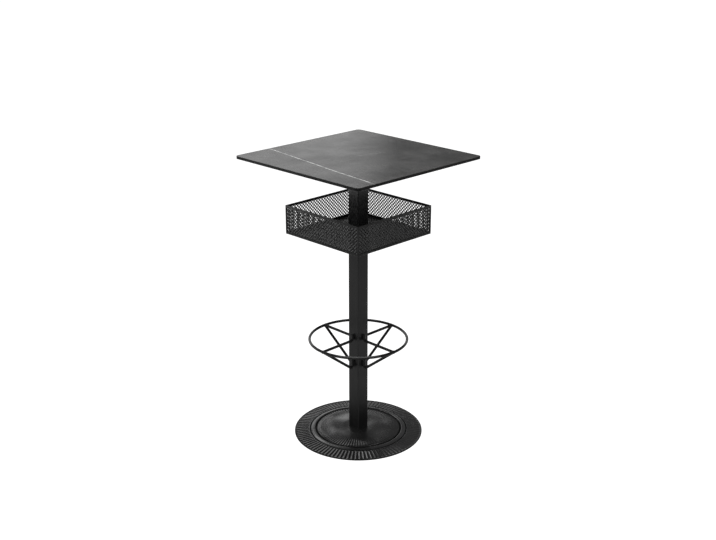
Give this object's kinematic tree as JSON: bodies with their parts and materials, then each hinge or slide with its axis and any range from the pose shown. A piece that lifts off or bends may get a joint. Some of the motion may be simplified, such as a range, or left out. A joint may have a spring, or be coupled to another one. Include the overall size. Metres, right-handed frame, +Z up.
{
  "type": "pub table",
  "caption": "Square bar-height pedestal table with a laminate top, a mesh basket under it, a foot ring on a square column and a round ribbed cast base.",
  "frame": {"origin": "on the floor under the middle of the table", "axes": "+Z up along the column, X and Y along the sides of the square top"},
  "size_m": [0.6, 0.6, 1.05],
  "materials": {
    "top_laminate": "satin dark stone-look compact laminate with a black core",
    "powder_black": "satin black powder coat with fine texture",
    "cast_black": "satin black paint on ribbed cast iron",
    "zinc_steel": "zinc plated",
    "brass": "plain turned brass",
    "nylon_black": "moulded nylon"
  },
  "bodies": {
    "pedestal": {"table_top": "top_laminate", "top_inserts": "brass", "top_screws": "zinc_steel", "top_plate": "powder_black", "plate_stub": "powder_black", "weld_nut": "zinc_steel", "column_tube": "powder_black", "tie_rod": "zinc_steel", "clamp_washer": "zinc_steel", "clamp_nut": "zinc_steel", "base_casting": "cast_black", "foot_ring": "powder_black", "basket_floor": "powder_black", "basket_screws": "zinc_steel", "basket_nuts": "zinc_steel", "spoke_front": "powder_black", "spoke_right": "powder_black", "spoke_back": "powder_black", "spoke_left": "powder_black", "brace_front": "powder_black", "brace_right": "powder_black", "brace_back": "powder_black", "brace_left": "powder_black", "rim_front": "powder_black", "rim_right": "powder_black", "rim_back": "powder_black", "rim_left": "powder_black", "sill_front": "powder_black", "sill_right": "powder_black", "sill_back": "powder_black", "sill_left": "powder_black", "mesh_front": "powder_black", "mesh_right": "powder_black", "mesh_back": "powder_black", "mesh_left": "powder_black", "bracket_front": "powder_black", "bracket_right": "powder_black", "bracket_back": "powder_black", "bracket_left": "powder_black", "post_front_left": "powder_black", "post_front_right": "powder_black", "post_back_right": "powder_black", "post_back_left": "powder_black"},
    "foot_front_left": {"pad_front_left": "nylon_black", "stud_front_left": "zinc_steel"},
    "foot_front_right": {"pad_front_right": "nylon_black", "stud_front_right": "zinc_steel"},
    "foot_back_right": {"pad_back_right": "nylon_black", "stud_back_right": "zinc_steel"},
    "foot_back_left": {"pad_back_left": "nylon_black", "stud_back_left": "zinc_steel"}
  },
  "joints": [
    {"name": "foot_front_left_slide", "type": "slide", "parent": "pedestal", "child": "foot_front_left", "axis": [0, 0, -1], "range_m": [0, 0.004]},
    {"name": "foot_front_right_slide", "type": "slide", "parent": "pedestal", "child": "foot_front_right", "axis": [0, 0, -1], "range_m": [0, 0.004]},
    {"name": "foot_back_right_slide", "type": "slide", "parent": "pedestal", "child": "foot_back_right", "axis": [0, 0, -1], "range_m": [0, 0.004]},
    {"name": "foot_back_left_slide", "type": "slide", "parent": "pedestal", "child": "foot_back_left", "axis": [0, 0, -1], "range_m": [0, 0.004]}
  ]
}
